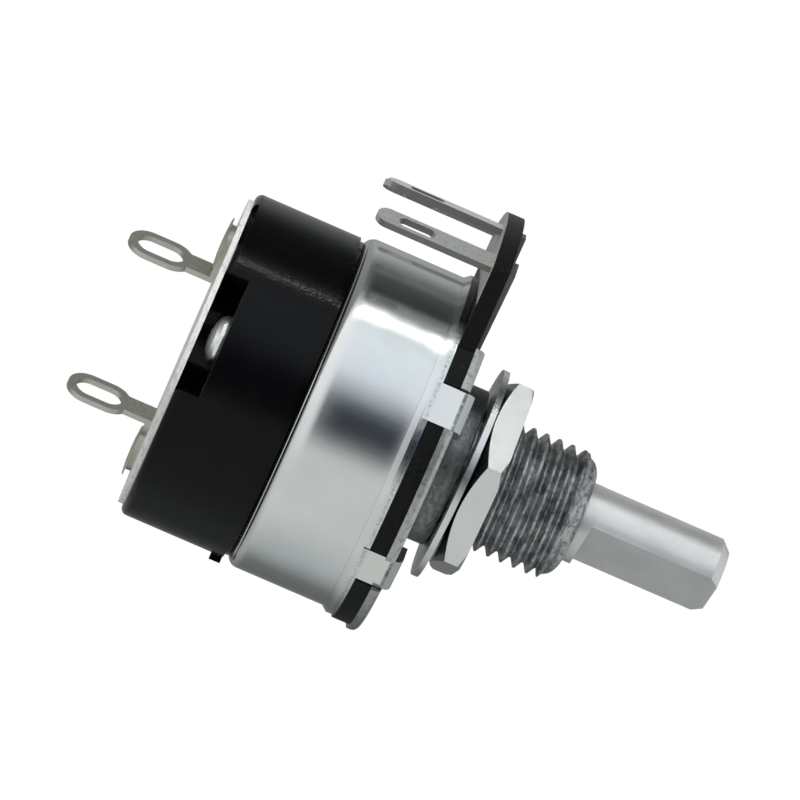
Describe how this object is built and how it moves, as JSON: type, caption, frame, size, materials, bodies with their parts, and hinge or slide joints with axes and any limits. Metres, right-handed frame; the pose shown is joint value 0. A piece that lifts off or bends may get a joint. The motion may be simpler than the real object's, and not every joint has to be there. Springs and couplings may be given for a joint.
{
  "type": "panel potentiometer with rotary switch",
  "caption": "Panel-mount rotary potentiometer with a flatted shaft, threaded bushing, washer and nut, and a rotary on/off switch riveted to its back.",
  "frame": {"origin": "on the shaft axis, in the plane of the boss front face, which is the panel seat", "axes": "+X along the shaft towards the knob end, +Z towards the wafer terminals, +Y completes the right-handed frame"},
  "size_m": [0.048, 0.027, 0.0317],
  "materials": {
    "steel_shaft": "satin",
    "zinc_bushing": "cast",
    "plated_steel": "satin",
    "spring_steel": "satin",
    "wafer_phenolic": "sheared edge",
    "carbon_ink": "matte",
    "silvered_brass": "satin",
    "tinned_terminal": "satin",
    "rotor_phenolic": "moulded",
    "spring_bronze": "satin",
    "tinned_can": "semi-bright",
    "black_bakelite": "moulded",
    "rivet_steel": "satin",
    "pale_fibre": "matte",
    "tinned_lug": "dull",
    "rivet_brass": "satin",
    "contact_brass": "satin",
    "plated_washer": "semi-bright",
    "plated_nut": "semi-bright"
  },
  "bodies": {
    "base": {"bushing": "zinc_bushing", "mounting_plate": "plated_steel", "wafer": "wafer_phenolic", "resistive_track": "carbon_ink", "collector_ring": "silvered_brass", "terminal_near": "tinned_terminal", "terminal_centre": "tinned_terminal", "terminal_far": "tinned_terminal", "can": "tinned_can", "switch_base": "black_bakelite", "switch_housing": "black_bakelite", "housing_rivet_near": "rivet_steel", "housing_rivet_far": "rivet_steel", "rear_plate": "pale_fibre", "switch_lug_upper": "tinned_lug", "switch_lug_lower": "tinned_lug", "lug_rivet_upper": "rivet_brass", "lug_rivet_lower": "rivet_brass", "lever_pin": "rivet_steel", "contact_feed": "contact_brass", "contact_fixed": "contact_brass", "toggle_spring": "spring_steel"},
    "spindle": {"shaft": "steel_shaft", "retaining_ring": "spring_steel", "rotor": "rotor_phenolic", "wiper": "spring_bronze"},
    "lever": {"switch_lever": "rotor_phenolic", "contact_arm": "spring_bronze"},
    "washer_body": {"washer": "plated_washer"},
    "nut_body": {"nut": "plated_nut"}
  },
  "joints": [
    {"name": "shaft_turn", "type": "hinge", "parent": "base", "child": "spindle", "pos_m": [0, 0, 0], "axis": [-1, 0, 0], "range_deg": [0, 300]},
    {"name": "lever_throw", "type": "hinge", "parent": "base", "child": "lever", "pos_m": [0, 0.00575, 0.00556], "axis": [1, 0, 0], "range_deg": [0, 39.18], "deforming": ["toggle_spring"]},
    {"name": "washer_slide", "type": "slide", "parent": "base", "child": "washer_body", "axis": [1, 0, 0], "range_m": [0, 0.007]},
    {"name": "nut_turn", "type": "hinge", "parent": "washer_body", "child": "nut_body", "pos_m": [0, 0, 0], "axis": [1, 0, 0], "range_deg": [0, 2520]}
  ],
  "couplings": [
    {"joint": "washer_slide", "follows": "nut_turn", "m_per_rad": 0.00015915}
  ]
}
